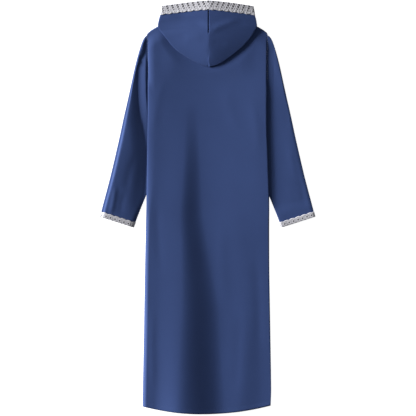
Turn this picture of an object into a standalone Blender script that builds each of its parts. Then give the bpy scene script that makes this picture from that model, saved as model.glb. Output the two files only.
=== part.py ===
# Hooded thobe laid face down: its back is up, its hood lies open on the back.
# Sizes are millimetres. +X is right and +Y towards the hood as seen from above, and the floor is Z 0.
import math

import bpy
import numpy as np

# Driving dimensions: walls and the air between them.
millimetre = 0.001
cloth = 1.2
lace = 1.0
gap = 0.3
seamGap = 0.5
layerStep = cloth + gap
laceGap = 0.45
laceStep = lace + laceGap

# Neckline, hem and the grid of the panels.
neckHalfWidth = 105
neckSideY = 668
backNeckY = 650
frontNeckY = 565
hemY = -734
hemRise = 27
hemMiddleX = -8
hemHalfWidth = 220
panelTopY = 617
hemBlend = 180
topBlendY = 440
sideGather = 0.7

# How the sleeves under the sides and the hood's front raise the panels.
flatSleeve = 3.2
tuckLift = 4.8
foldReach = 2
tuckStart = 34
tuckRamp = 30
backTuckShare = 1.1
backTuckAhead = 9
neckLift = 1.6
neckReach = 70
neckRamp = 60
neckFromY = 440
neckToY = 520

# Soft air under the back: its reach from the sides, the rounding of the sides and the dip under the hood.
puffReach = 120
backRoundLeft = 26
skirtRoundLeft = 14
roundRight = 5
roundChangeY = -50
roundChange = 150
underHoodY = 520
underHoodFade = 60
foldFadeY = 505
hoodDip = 52
hoodDipX = 3
hoodDipY = 660
hoodDipRadius = 136
topFade = 60
foldRise = 90
longFoldBack = 130
shortFoldBack = 60

# Sleeves: shares of the length and of the way round, then their thickness, slope and rounding.
cuffStart = 0.88
trimLift = 0.06
underShare = 0.35
outerShare = 0.5
upperShare = 0.88
sleeveGape = 1.3
outerGape = {-1: 1.8, 1: 0.5}
sleeveSlope = {-1: 1.7, 1: 1.2}
sleeveInnerRound = 13
sleeveOuterRound = 9
cuffSlant = 0.32
armholeReach = 9
leastRise = 8
rightRollWidth = 24

# Hood and lace.
neckClear = 5
gateX = (72, 107)
gateY = (699, 678)
hoodClear = 2.4
foldOpen = 3.6
hoodSeamX = 3.5
hoodSeamTopY = 733.5
hoodSeamTipY = 527
faceArch = 7
hoodTrimWidth = 35
hoodScallop = 24
hoodScallopDepth = 4
cuffTrimWidth = 20.5
cuffScallop = 21.3
cuffScallopDepth = 3

blue = (0.042, 0.072, 0.185, 1)
white = (0.62, 0.63, 0.66, 1)

# Both panels: y, then x of the left and the right side edge.
panelEdges = [
    (-760, -228, 222),
    (-700, -230, 225),
    (-650, -229.5, 226),
    (-440, -225.5, 223),
    (-225, -222, 219.5),
    (-80, -219, 219),
    (40, -216.5, 219),
    (170, -214, 215),
    (270, -212.5, 211.5),
    (365, -211.5, 210.5),
    (520, -212, 211.5),
    (617, -213.5, 212),
]

# Shoulder seam: distance from the middle, then y.
shoulder = [(105, 668), (145, 655.5), (176, 642), (200, 628), (213.5, 617)]

# Where the sleeve lies under the panels: y, then the distance from the middle of its inner edge.
tuckEdge = [
    (-60, 262), (0, 222), (42, 206), (98, 186), (170, 166), (235, 158), (300, 166),
    (335, 182), (366, 198), (400, 213), (440, 238), (480, 262),
]

# Air under the back: y, then along the left side, in the middle and along the right side.
backLevels = [
    (-734, 2.5, 3.2, 1.2), (-150, 3.5, 3.2, 2.6), (-60, 5, 3.2, 5), (0, 7, 3.2, 7), (100, 8, 3.4, 8),
    (380, 8, 3.4, 8), (500, 7.5, 2.6, 4.6), (617, 7, 2.4, 4.2),
]

# Long fold of the skirt: y, x where it starts to fall, width of the fall, height above and below the back,
# share of the height that the side has.
longFold = [
    (-734, -99, 162, 23.5, 3, 0.52), (-506, -98, 146, 21, 3, 0.78), (-329, -92, 128, 16.5, 3, 0.84),
    (-152, -94, 98, 11.5, 2.8, 0.85), (-27, -97, 80, 8, 2.4, 0.7), (61, -91, 70, 6, 1.8, 0.6),
    (168, -84, 58, 3.6, 1.2, 0.4), (274, -80, 48, 1.4, 0.5, 0), (380, -80, 46, 0, 0, 0),
]

# The softer fold on its right.
shortFold = [
    (-734, 108, 85, 3.2, 1, 0), (-506, 119, 70, 2, 0.5, 0), (-300, 125, 65, 0.4, 0, 0),
    (-150, 125, 65, 0, 0, 0), (700, 125, 65, 0, 0, 0),
]

# Sleeve sections from armhole to cuff: outer x and y, the point that bows it, inner x and y.
sleeveSections = [
    (214, 615, 213.5, 497, 207, 379),
    (229.5, 592, 238, 349, 205, 350),
    (244, 549.5, 243, 341, 200, 337),
    (257, 500, 237, 342, 196, 326),
    (268, 450, 241, 338, 186, 297),
    (280, 395, 238, 322, 177, 258),
    (296, 325, 234, 266, 172, 208),
    (312, 250, 244, 206, 176, 160),
    (328, 180, 258, 146, 188, 112),
    (344, 112, 274.5, 91, 205, 70),
    (357, 62, 289, 48, 221, 34),
    (370, 13, 305, 0, 240.5, -14),
    (382, -33.5, 322, -53, 262.5, -72),
]

# Place along the sleeve, outer x, then for the left sleeve its loft, the width and height of the roll
# beside the body and the width of the rise, then the loft and the height of the roll of the right sleeve.
sleeveLofts = [
    (-33.5, 382, 7.5, 6, 0, 200, 0.8, 0.6),
    (17, 370, 9, 6, 0, 200, 0.8, 1.2),
    (70, 357, 10.5, 4, 0, 150, 0.8, 1.6),
    (124, 344, 12, 2, 0, 120, 0.8, 2),
    (197, 328, 12, 1, 0, 100, 0.8, 2),
    (272, 312, 10, 3, 0, 80, 0.8, 1.8),
    (339, 299, 8, 16, 0.6, 55, 1, 1.5),
    (375, 291.5, 6.5, 27, 1.8, 36, 1, 1.2),
    (428, 280, 5.2, 33, 3, 28, 1.2, 1),
    (486, 268, 4.6, 35, 3.8, 24, 1.2, 0.8),
    (540, 257, 4, 32, 3.8, 22, 1.2, 0.5),
    (575, 249, 4, 20, 2.4, 16, 1, 0.3),
    (600, 242, 4.5, 10, 0.8, 12, 1, 0),
    (641, 229.5, 4.5, 6, 0, 9, 1, 0),
    (669, 214, 3, 5, 0, 9, 1, 0),
]

# Outline of the hood where it folds under: x and y on the left, then on the right.
hoodOutline = [
    (-160, 716, 162, 715),
    (-167, 687, 167, 687),
    (-172, 669, 172, 669),
    (-175, 655, 174.5, 655),
    (-175.7, 641, 175.5, 641),
    (-167, 626, 167, 625),
    (-148, 601, 152, 601),
    (-113, 560, 122, 568),
    (-72, 532, 85, 538),
    (-28, 508.5, 42, 509),
    (hoodSeamX - gap / 2, 498, hoodSeamX + gap / 2, 498),
]
shoulderStation = 3

# Hood from its face edge (0) to its tip (1): height of the fold on the left, on the right, and of the seam.
hoodHeights = [
    (0, 14, 12, 22),
    (0.2, 12.5, 13.5, 25),
    (0.35, 10, 13.5, 25.5),
    (0.5, 9, 13.5, 26.5),
    (0.75, 8.5, 13, 24.5),
    (1, 9.5, 10.5, 17),
]


def smooth(t):
    t = np.clip(t, 0, 1)
    return t * t * (3 - 2 * t)


def roundOver(t):
    """A quarter circle that rises from 0 to 1."""
    t = np.clip(t, 0, 1)
    return math.sqrt(1 - (1 - t) ** 2)


def curveAt(table, column, at):
    """Reads a column at a place in the first column, on a smooth curve through the rows."""
    keys = [row[0] for row in table]
    at = min(max(at, keys[0]), keys[-1])
    i = min(max(int(np.searchsorted(keys, at)) - 1, 0), len(keys) - 2)

    def slope(k):
        a, b = max(k - 1, 0), min(k + 1, len(keys) - 1)
        return (table[b][column] - table[a][column]) / (keys[b] - keys[a])

    step = keys[i + 1] - keys[i]
    t = (at - keys[i]) / step
    y0, y1 = table[i][column], table[i + 1][column]
    return (
        y0 * (1 + 2 * t) * (1 - t) ** 2
        + slope(i) * step * t * (1 - t) ** 2
        + y1 * t * t * (3 - 2 * t)
        + slope(i + 1) * step * t * t * (t - 1)
    )


def numbered(rows):
    """Adds each row's number as its first column."""
    return [(i, *row) for i, row in enumerate(rows)]


def sideEdge(side, y):
    return curveAt(panelEdges, 1 if side < 0 else 2, y)


def topEdge(x, neck):
    """The shoulder seam and the neckline, where neck is "front" or "back"."""
    across = abs(x)
    if across >= neckHalfWidth:
        return curveAt(shoulder, 1, across)
    part = across / neckHalfWidth
    if neck == "back":
        return backNeckY + (neckSideY - backNeckY) * part**2.2
    return neckSideY - (neckSideY - frontNeckY) * math.sqrt(1 - part * part)


def hemEdge(x):
    return hemY + hemRise * ((x - hemMiddleX) / hemHalfWidth) ** 2


def tuckHeight(x, y, ahead=0):
    """How far the panels are raised by the sleeve that lies under their side."""
    edge = curveAt(tuckEdge, 1, y) - ahead
    return tuckLift * smooth((abs(x) - edge + tuckStart) / tuckRamp)


def neckHeight(x, y):
    """How far the back is raised by the front of the hood, which lies in the front neckline."""
    aside = smooth((neckHalfWidth + neckReach - abs(x)) / neckRamp)
    return neckLift * aside * smooth((y - neckFromY) / (neckToY - neckFromY))


def fallLoft(table, x, y, back):
    """A fold that rises from the left and falls to the right."""
    top, width, height, sink, share = (curveAt(table, c, y) for c in range(1, 6))
    fall = smooth((x - top) / width)
    up = share + (1 - share) * smooth((x - top + foldRise) / foldRise)
    return height * up * (1 - fall) - sink * fall * (1 - smooth((x - top - width) / back))


def foldLoft(x, y):
    return fallLoft(longFold, x, y, longFoldBack) + fallLoft(shortFold, x, y, shortFoldBack)


def puffHeight(x, y):
    """Air under the back, with a dip under the hood."""
    middle = curveAt(backLevels, 2, y)
    level = middle
    for side, column in ((-1, 1), (1, 3)):
        inside = max(side * (sideEdge(side, y) - x), 0)
        level += (curveAt(backLevels, column, y) - middle) * math.exp(-((inside / puffReach) ** 2))
    fromHood = math.hypot(x - hoodDipX, y - hoodDipY) - hoodDipRadius
    return level * smooth(fromHood / hoodDip) * smooth((topEdge(x, "back") - y) / topFade)


def backTop(x, y):
    """Height of the back's upper face."""
    raised = backTuckShare * tuckHeight(x, y, backTuckAhead)
    leftRound = skirtRoundLeft
    leftRound += (backRoundLeft - skirtRoundLeft) * smooth((y - roundChangeY) / roundChange)
    edgeRound = roundOver((x - sideEdge(-1, y)) / leftRound) * roundOver((sideEdge(1, y) - x) / roundRight)
    soft = max(puffHeight(x, y) - raised, smooth((underHoodY - y) / underHoodFade))
    soft += foldLoft(x, y) * smooth((foldFadeY - y) / underHoodFade)
    return raised + neckHeight(x, y) + cloth + layerStep + soft * edgeRound


def clothPiece(name, rows, colour, thickness=cloth, closed=False, flip=False):
    """A wall of cloth: rows of points on its outer face, thickened inwards."""
    count, width = len(rows), len(rows[0])
    points = [tuple(c * millimetre for c in point) for row in rows for point in row]
    faces = []
    for i in range(count - 1):
        for j in range(width if closed else width - 1):
            k = (j + 1) % width
            face = (i * width + j, i * width + k, (i + 1) * width + k, (i + 1) * width + j)
            faces.append(face[::-1] if flip else face)
    mesh = bpy.data.meshes.new(name)
    mesh.from_pydata(points, [], faces)
    mesh.shade_smooth()
    piece = bpy.data.objects.new(name, mesh)
    garment.objects.link(piece)
    piece.data.materials.append(colour)
    wall = piece.modifiers.new("Wall", "SOLIDIFY")
    wall.thickness = thickness * millimetre
    wall.offset = -1
    return piece


def closeAtSeam(piece, side):
    """Gives a hood half its wall and sets its edge square to the centre seam."""
    graph = bpy.context.evaluated_depsgraph_get()
    mesh = bpy.data.meshes.new_from_object(piece.evaluated_get(graph))
    piece.modifiers.clear()
    piece.data = mesh
    limit = (hoodSeamX + side * gap / 2) * millimetre
    for vertex in mesh.vertices:
        vertex.co.x = side * max(side * vertex.co.x, side * limit)


def makeMaterial(name, colour, roughness):
    material = bpy.data.materials.new(name)
    material.use_nodes = True
    shader = material.node_tree.nodes["Principled BSDF"]
    shader.inputs["Base Color"].default_value = colour
    shader.inputs["Roughness"].default_value = roughness
    return material


def panelColumns(count, gather):
    """Fractions of the width from left to right, closer together near the sides."""
    steps = np.linspace(0, 1, count)
    return steps + gather * (0.5 - 0.5 * np.cos(math.pi * steps) - steps)


def panelRows(columns, stations, neck):
    """Plan points of a panel, with its hem and its top edge as the first and last row."""
    hemFlat = hemY + hemRise / 2
    rows = []
    for t in stations:
        flatY = hemFlat + (panelTopY - hemFlat) * t
        nearHem = smooth((hemFlat + hemBlend - flatY) / hemBlend)
        nearTop = smooth((flatY - topBlendY) / (panelTopY - topBlendY))
        row = []
        for s in columns:
            left, right = sideEdge(-1, flatY), sideEdge(1, flatY)
            x = left + (right - left) * s
            y = flatY + nearHem * (hemEdge(x) - hemFlat)
            y += nearTop * (topEdge(x, neck) - panelTopY)
            row.append((x, y))
        rows.append(row)
    return rows


def makeFront():
    plan = panelRows(panelColumns(23, sideGather), np.linspace(0, 1, 28), "front")
    rows = [[(x, y, tuckHeight(x, y)) for x, y in row] for row in plan]
    clothPiece("front_panel", rows, clothBlue, flip=True)


def makeBack():
    plan = panelRows(panelColumns(25, sideGather), np.linspace(0, 1, 36), "back")
    rows = [[(x, y, backTop(x, y)) for x, y in row] for row in plan]
    clothPiece("back_panel", rows, clothBlue)


def sleevePoint(side, t, around):
    """A point on a sleeve's outer face: t from armhole to cuff, around from the inner fold."""
    table = numbered(sleeveSections)
    at = t * (len(table) - 1)
    outerX, outerY, bowX, bowY, innerX, innerY = (curveAt(table, c, at) for c in range(1, 7))
    steps = np.linspace(0, 1, 25)[:, None]
    line = (
        np.array((innerX, innerY)) * (1 - steps) ** 2
        + np.array((bowX, bowY)) * 2 * steps * (1 - steps)
        + np.array((outerX, outerY)) * steps**2
    )
    lengths = np.concatenate([[0], np.cumsum(np.linalg.norm(np.diff(line, axis=0), axis=1))])
    width = lengths[-1]
    inner = flatSleeve / 2 + sleeveGape * smooth((t - cuffStart) / (1 - cuffStart))
    outer = flatSleeve / 2 + outerGape[side] * smooth(t / 0.2)
    lift = laceStep * smooth((t - cuffStart) / trimLift)

    def place(a):
        """Plan point at a distance from the inner edge, and how far beyond the panel it is."""
        x, y = (np.interp(a, lengths, line[:, c]) for c in (0, 1))
        edge = abs(sideEdge(side, y)) + seamGap + cloth * smooth((a - width + armholeReach) / 6)
        x += (edge - x) * (1 - smooth(at / 0.5))
        return side * x, y, x - edge

    def top(a):
        x, y, beyond = place(a)
        level = y + cuffSlant * (sleeveLofts[0][1] - abs(x))
        shown = curveAt(sleeveLofts, 1, level) - abs(sideEdge(side, y))
        if side < 0:
            loft, rollWidth, rollHeight, riseWidth = (curveAt(sleeveLofts, c, level) for c in range(2, 6))
        else:
            loft, rollHeight = (curveAt(sleeveLofts, c, level) for c in (6, 7))
            rollWidth, riseWidth = rightRollWidth, shown
        crown = roundOver((a - foot) / sleeveInnerRound) * roundOver((head - a) / sleeveOuterRound)
        rise = (beyond - rollWidth) / max(min(shown - rollWidth, riseWidth), leastRise)
        rise = min(max(rise, 0), 1)
        roll = rollHeight * smooth((beyond - 2) / 4) * (1 - smooth((beyond - 3) / max(rollWidth - 3, 3)))
        lifted = loft * (1 - (1 - rise) ** sleeveSlope[side]) * smooth(rise / 0.08) + roll
        return 2 * (inner + (outer - inner) * smooth((beyond - rollWidth) / 60)) + lifted * crown

    innerReach, outerReach = foldReach * inner, foldReach * outer
    foot, head = innerReach, width - outerReach
    if around < underShare:
        a = foot + (head - foot) * around / underShare
        z = 0
    elif around < outerShare:
        turn = math.pi * (around - underShare) / (outerShare - underShare) - math.pi / 2
        a, z = head + outerReach * math.cos(turn), top(head) / 2 * (1 + math.sin(turn))
    elif around < upperShare:
        a = head + (foot - head) * (around - outerShare) / (upperShare - outerShare)
        z = top(a)
    else:
        turn = math.pi * (around - upperShare) / (1 - upperShare) + math.pi / 2
        a, z = foot + innerReach * math.cos(turn), top(foot) / 2 * (1 + math.sin(turn))
    x, y, _ = place(a)
    return np.array((x, y, z + lift))


sleeveAround = np.concatenate([
    np.linspace(0, underShare, 6)[:-1],
    np.linspace(underShare, outerShare, 5)[:-1],
    np.linspace(outerShare, upperShare, 10)[:-1],
    np.linspace(upperShare, 1, 4)[:-1],
])


def sleeveGrid(side):
    return np.array([[sleevePoint(side, t, a) for a in sleeveAround] for t in np.linspace(0, 1, 19)])


def gridNormals(grid, closed):
    """Unit normals at the points of a grid of rows, pointing as row direction x column direction."""
    along = np.gradient(grid, axis=0)
    if closed:
        across = np.roll(grid, -1, axis=1) - np.roll(grid, 1, axis=1)
    else:
        across = np.gradient(grid, axis=1)
    normals = np.cross(along, across)
    return normals / np.linalg.norm(normals, axis=2, keepdims=True)


def makeTrim(name, grid, out, width, pitch, depth, closed=False):
    """A scalloped strip on the first rows of a cloth grid, made from its points, moved out."""
    normals = gridNormals(grid, closed) * out
    if closed:
        grid = np.concatenate([grid, grid[:, :1]], axis=1)
        normals = np.concatenate([normals, normals[:, :1]], axis=1)
    edge = np.linalg.norm(np.diff(grid[0], axis=0), axis=1)
    ends = np.concatenate([[0], np.cumsum(edge)])
    lobes = round(ends[-1] / pitch)
    places = []
    for j, length in enumerate(edge):
        parts = max(1, round(4 * length / pitch))
        places += [j + k / parts for k in range(parts)]
    if not closed:
        places.append(len(edge))
    rows = [[], [], []]
    for place in places:
        j = min(int(place), len(edge) - 1)
        part = place - j
        points = grid[:, j] * (1 - part) + grid[:, j + 1] * part
        outs = normals[:, j] * (1 - part) + normals[:, j + 1] * part
        lengths = np.concatenate([[0], np.cumsum(np.linalg.norm(np.diff(points, axis=0), axis=1))])
        phase = math.pi * lobes * (ends[j] + edge[j] * part) / ends[-1]
        reach = width - depth * (1 - abs(math.sin(phase)) ** 0.7)
        for row, share in zip(rows, (0, 0.5, 1)):
            here, outward = (
                np.array([np.interp(reach * share, lengths, values[:, c]) for c in range(3)])
                for values in (points, outs)
            )
            row.append(here + outward / np.linalg.norm(outward) * (lace + laceGap))
    clothPiece(name, rows, laceWhite, thickness=lace, closed=closed, flip=out > 0)


def outlinePoint(side, at):
    table = numbered(hoodOutline)
    columns = (1, 2) if side < 0 else (3, 4)
    return np.array([curveAt(table, c, at) for c in columns])


def hoodSection(side, u):
    """The hood's curve at u, from the neck seam to the fold and back to the centre seam."""
    last = len(hoodOutline) - 1
    at = u * last
    fold = outlinePoint(side, at)
    ahead = outlinePoint(side, min(at + 0.2, last)) - outlinePoint(side, max(at - 0.2, 0))
    inwards = np.array((ahead[1], -ahead[0])) * side
    inwards /= np.linalg.norm(inwards)
    toTip = smooth((u - 0.75) / 0.25)
    inwards = inwards * (1 - toTip) + np.array((0, 1)) * toTip
    inwards /= np.linalg.norm(inwards)
    return fold, inwards


def neckPlaces(side, u, bottom):
    """Plan of the hood's lower layer at u: its neck seam, and the place where it turns outwards."""
    neckPart = shoulderStation / (len(hoodOutline) - 1)
    if u <= neckPart:
        # The front of the hood lies in the front neckline and leaves it above the shoulder seam.
        part = u / neckPart
        turn = math.pi / 2 * part
        half = neckHalfWidth - neckClear
        seam = np.array((
            side * (gap + (half - gap) * math.sin(turn)),
            neckSideY - (neckSideY - frontNeckY - neckClear) * math.cos(turn),
        ))
        gateAcross = gateX[0] + (gateX[1] - gateX[0]) * part
        gate = np.array((side * gateAcross, gateY[0] + (gateY[1] - gateY[0]) * part))
        return seam, gate
    part = (u - neckPart) / (1 - neckPart)
    across = neckHalfWidth * (1 - part)
    middle = hoodSeamX * smooth(part)
    rim = np.array((middle + side * (across + gap / 2), topEdge(across, "back") - 2))
    start = np.array((side * (neckHalfWidth + 1), neckSideY + 7))
    settle = smooth((part - 0.03) / 0.06)
    seam = start * (1 - settle) + rim * settle
    turnPart = 0.12 + 0.38 * smooth(part / 0.4)
    return seam, seam * (1 - turnPart) + bottom * turnPart


def hoodPoint(side, u, v):
    """A point on the hood's outer face: u from face edge to tip, v from neck seam to centre seam."""
    fold, inwards = hoodSection(side, u)
    neckPart = shoulderStation / (len(hoodOutline) - 1)
    onBack = smooth((u - neckPart) / 0.02)
    edgeHeight = curveAt(hoodHeights, 1 if side < 0 else 2, u)
    seamHeight = curveAt(hoodHeights, 3, u)

    def low(p):
        return laceStep + (backTop(p[0], p[1]) + hoodClear - laceStep) * onBack

    foldLow = low(fold + inwards * 6)
    edgeHeight = max(edgeHeight, foldLow + foldOpen)
    radius = (edgeHeight - foldLow) / 2
    bottom = fold + inwards * radius
    if v < 0.4:
        seam, gate = neckPlaces(side, u, bottom)
        ends = (seam, gate) if v < 0.2 else (gate, bottom)
        t = (v % 0.2) / 0.2
        p = ends[0] * (1 - t) + ends[1] * t
        z = low(p) + (foldLow - low(p)) * smooth((v - 0.3) / 0.1)
        return np.array((p[0], p[1], z))
    if v < 0.56:
        turn = math.pi * (v - 0.4) / 0.16 - math.pi / 2
        p = bottom - inwards * radius * math.cos(turn)
        return np.array((p[0], p[1], foldLow + radius + radius * math.sin(turn)))
    t = (v - 0.56) / 0.44
    topY = hoodSeamTopY + (hoodSeamTipY - hoodSeamTopY) * u
    seamPlace = np.array((hoodSeamX + side * gap / 2, topY))
    straight = seamPlace - bottom
    reach = np.linalg.norm(straight) / 3
    leave = inwards * 0.35 + straight / np.linalg.norm(straight) * 0.65
    toTip = smooth((u - 0.6) / 0.4)
    back = np.array((side, 0)) * (1 - toTip) + np.array((0, -1)) * toTip
    back = back / np.linalg.norm(back) * 0.5 - straight / np.linalg.norm(straight) * 0.5
    arch = np.array((0, faceArch * (1 - smooth(u / 0.2))))
    plan = (
        bottom * (1 - t) ** 3
        + (bottom + leave * reach + arch) * 3 * t * (1 - t) ** 2
        + (seamPlace + back * reach) * 3 * t * t * (1 - t)
        + seamPlace * t**3
    )
    rise = 0.75 * t + 0.25 * smooth(t) if side < 0 else 1.5 * t - 0.5 * t * t
    z = edgeHeight + (seamHeight - edgeHeight) * rise
    return np.array((plan[0], plan[1], z))


hoodAcross = np.concatenate([
    np.linspace(0, 0.4, 9)[:-1],
    np.linspace(0.4, 0.56, 6)[:-1],
    np.linspace(0.56, 1, 10),
])
hoodAlong = np.concatenate([np.linspace(0, 0.3, 5), [0.325], np.linspace(0.36, 1, 11)])


def hoodGrid(side):
    return np.array([[hoodPoint(side, u, v) for v in hoodAcross] for u in hoodAlong])


for old in list(bpy.data.objects):
    bpy.data.objects.remove(old, do_unlink=True)
garment = bpy.data.collections.new("hooded_thobe")
bpy.context.scene.collection.children.link(garment)
clothBlue = makeMaterial("blue_cloth", blue, 0.8)
laceWhite = makeMaterial("white_lace", white, 0.85)

makeFront()
makeBack()
for sideName, side in (("left", -1), ("right", 1)):
    sleeve = sleeveGrid(side)
    hood = hoodGrid(side)
    clothPiece("sleeve_" + sideName, sleeve, clothBlue, closed=True, flip=side < 0)
    closeAtSeam(clothPiece("hood_" + sideName, hood, clothBlue, flip=side < 0), side)
    cuff = sleeve[::-1]
    makeTrim("cuff_trim_" + sideName, cuff, side, cuffTrimWidth, cuffScallop, cuffScallopDepth, True)
    makeTrim("hood_trim_" + sideName, hood, -side, hoodTrimWidth, hoodScallop, hoodScallopDepth)
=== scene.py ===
# The hooded thobe laid face down: fine cloth, lace and stitching on the frame,
# with its floor, light and camera.
# Sizes are millimetres until a mesh is made. +X is right and +Y towards the hood, as seen from above.
import math

import bpy
import numpy as np
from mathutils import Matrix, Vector


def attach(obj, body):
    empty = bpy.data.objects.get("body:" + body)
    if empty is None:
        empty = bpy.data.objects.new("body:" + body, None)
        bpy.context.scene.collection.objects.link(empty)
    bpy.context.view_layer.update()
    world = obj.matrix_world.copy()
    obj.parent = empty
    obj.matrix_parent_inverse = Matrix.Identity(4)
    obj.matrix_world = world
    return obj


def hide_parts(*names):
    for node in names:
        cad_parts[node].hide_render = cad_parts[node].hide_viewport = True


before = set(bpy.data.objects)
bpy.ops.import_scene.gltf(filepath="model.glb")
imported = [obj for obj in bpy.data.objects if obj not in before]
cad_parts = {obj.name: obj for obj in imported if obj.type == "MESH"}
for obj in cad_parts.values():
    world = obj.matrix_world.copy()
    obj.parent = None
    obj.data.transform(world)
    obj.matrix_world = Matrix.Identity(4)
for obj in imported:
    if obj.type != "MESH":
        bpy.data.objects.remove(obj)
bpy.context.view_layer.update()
mm = 0.001

layers = {
    "cloth": 1.2,  # wall of the cloth
    "lace": 1.0,
    "gap": 0.3,  # air between two layers
    "seamGap": 0.08,
    "laceGap": 0.45,
}
layerStep = layers["cloth"] + layers["gap"]
laceStep = layers["lace"] + layers["laceGap"]

panels = {
    "neckHalfWidth": 105,
    "neckSideY": 668,
    "backNeckY": 650,
    "frontNeckY": 565,
    "hemY": -734,
    "hemRise": 27,  # the hem curves up towards the sides
    "hemMiddleX": -8,
    "hemHalfWidth": 220,
    "topY": 617,
    "tuckLift": 4.8,  # where the sleeves lie under the sides
    "tuckStart": 34,  # the rise starts this far inside the sleeve's edge
    "tuckRamp": 30,
    "backTuckShare": 1.1,  # how much more the back rises there than the front
    "backTuckAhead": 9,  # and how much nearer the middle
    "neckLift": 1.6,
    "neckReach": 70,  # the hood's front lifts the panels this far past the neckline
    "neckRamp": 60,
    "neckFromY": 440,
    "neckRise": 80,
    "topCalm": 60,  # the air under the back ends over this distance from its top edge
    "puffReach": 120,
    "sideRound": (26, 14, 5),  # reach of the rounding: left side of the back, left of the skirt, right side
    "hoodDip": 52,  # the back slopes down to the hood over this distance
    "hoodDipAt": (3, 660),
    "hoodDipRadius": 136,
    "hemTurn": 15,  # depth of the hem's turn-up
    "hemRidge": 0.5,
    "hemStitchWidth": 1.4,
    "skirtFrom": -50,  # the left side's rounding changes above here, over skirtRamp
    "skirtRamp": 150,
    "foldsEndY": 505,  # folds and creases end here and the least air ends at leastAirY
    "leastAirY": 520,
    "topFade": 60,
    "longFoldBack": 130,  # width of the slope that comes back up to the right of each fold
    "shortFoldBack": 60,
    "hemReach": 180,  # the grid follows the hem's curve over this distance
    "sideCrowding": 0.7,  # how much closer the grid's columns lie at the sides
    "frontGrid": (101, 180),  # columns and rows
    "backGrid": (141, 240),
}

# y, then x of the left and the right side edge
panelEdges = [
    (-760, -228, 222), (-700, -230, 225), (-650, -229.5, 226), (-440, -225.5, 223), (-225, -222, 219.5),
    (-80, -219, 219), (40, -216.5, 219), (170, -214, 215), (270, -212.5, 211.5), (365, -211.5, 210.5),
    (520, -212, 211.5), (617, -213.5, 212),
]
shoulderLine = [(105, 668), (145, 655.5), (176, 642), (200, 628), (213.5, 617)]  # distance from the middle, y
# y, then the distance from the middle of the sleeve edge that lies under the panels
tuckLine = [
    (-60, 262), (0, 222), (42, 206), (98, 186), (170, 166), (235, 158), (300, 166),
    (335, 182), (366, 198), (400, 213), (440, 238), (480, 262),
]
# air under the back: y, then along the left side, in the middle and along the right side
backLevels = [
    (-734, 2.5, 3.2, 1.2), (-150, 3.5, 3.2, 2.6), (-60, 5, 3.2, 5), (0, 7, 3.2, 7), (100, 8, 3.4, 8),
    (380, 8, 3.4, 8), (500, 7.5, 2.6, 4.6), (617, 7, 2.4, 4.2),
]
# long fold of the skirt: y, x where it starts to fall, width of the fall, height above and below the back,
# share of the height that the side has
longFold = [
    (-734, -99, 162, 23.5, 3, 0.52), (-506, -98, 146, 21, 3, 0.78), (-329, -92, 128, 16.5, 3, 0.84),
    (-152, -94, 98, 11.5, 2.8, 0.85), (-27, -97, 80, 8, 2.4, 0.7), (61, -91, 70, 6, 1.8, 0.6),
    (168, -84, 58, 3.6, 1.2, 0.4), (274, -80, 48, 1.4, 0.5, 0), (380, -80, 46, 0, 0, 0),
]
# the softer fold on its right
shortFold = [
    (-734, 108, 85, 3.2, 1, 0), (-506, 119, 70, 2, 0.5, 0), (-300, 125, 65, 0.4, 0, 0),
    (-150, 125, 65, 0, 0, 0), (700, 125, 65, 0, 0, 0),
]
foldRise = 90  # width of the slope that leads up to a fold from the left
# creases of the back: start x, start y, end x, end y, bow, width, height (below 0 is a trough)
backCreases = [
    (-150, 470, -190, 250, 10, 16, 0.5),
    (60, 440, 120, 250, 9, 22, 0.45),
    (150, 400, 180, 180, -8, 18, 0.5),
    (-178, 60, -160, -260, 6, 16, -0.5),
    (50, -40, 72, -420, 8, 22, 0.6),
    (168, -120, 182, -560, -6, 18, -0.6),
    (-196, -330, -186, -690, 5, 14, 0.6),
    (110, -330, 90, -700, -8, 20, -0.6),
]


def smooth(t):
    t = np.clip(t, 0, 1)
    return t * t * (3 - 2 * t)


def roundOver(t):  # a quarter circle that rises from 0 to 1
    t = np.clip(t, 0, 1)
    return np.sqrt(1 - (1 - t) ** 2)


def curveThrough(table):  # a smooth curve through rows of a key and its values
    rows = np.array(table, float)
    keys, values = rows[:, 0], rows[:, 1:]
    span = np.concatenate([rows[1:], rows[-1:]]) - np.concatenate([rows[:1], rows[:-1]])
    slopes = span[:, 1:] / span[:, :1]

    def read(at, column=0):
        at = np.clip(at, keys[0], keys[-1])
        i = np.clip(np.searchsorted(keys, at) - 1, 0, len(keys) - 2)
        step = keys[i + 1] - keys[i]
        t = (at - keys[i]) / step
        return (
            values[i, column] * (1 + 2 * t) * (1 - t) ** 2
            + slopes[i, column] * step * t * (1 - t) ** 2
            + values[i + 1, column] * t * t * (3 - 2 * t)
            + slopes[i + 1, column] * step * t * t * (t - 1)
        )

    return read


def numbered(rows):  # each row's number becomes its key
    return [(i, *row) for i, row in enumerate(rows)]


readEdge = curveThrough(panelEdges)
readShoulder = curveThrough(shoulderLine)
readTuck = curveThrough(tuckLine)
readLevel = curveThrough(backLevels)
readLongFold = curveThrough(longFold)
readShortFold = curveThrough(shortFold)


def sideEdge(side, y):
    return readEdge(y, 0 if side < 0 else 1)


def topEdge(x, neck):  # shoulder seam and neckline
    across = np.abs(x)
    part = np.clip(across / panels["neckHalfWidth"], 0, 1)
    if neck == "back":
        scoop = panels["backNeckY"] + (panels["neckSideY"] - panels["backNeckY"]) * part**2.2
    else:
        scoop = panels["neckSideY"] - (panels["neckSideY"] - panels["frontNeckY"]) * np.sqrt(1 - part**2)
    return np.where(across >= panels["neckHalfWidth"], readShoulder(across), scoop)


def hemEdge(x):
    return panels["hemY"] + panels["hemRise"] * ((x - panels["hemMiddleX"]) / panels["hemHalfWidth"]) ** 2


def tuckHeight(x, y, ahead=0):
    inside = np.abs(x) - readTuck(y) + ahead + panels["tuckStart"]
    return panels["tuckLift"] * smooth(inside / panels["tuckRamp"])


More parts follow.
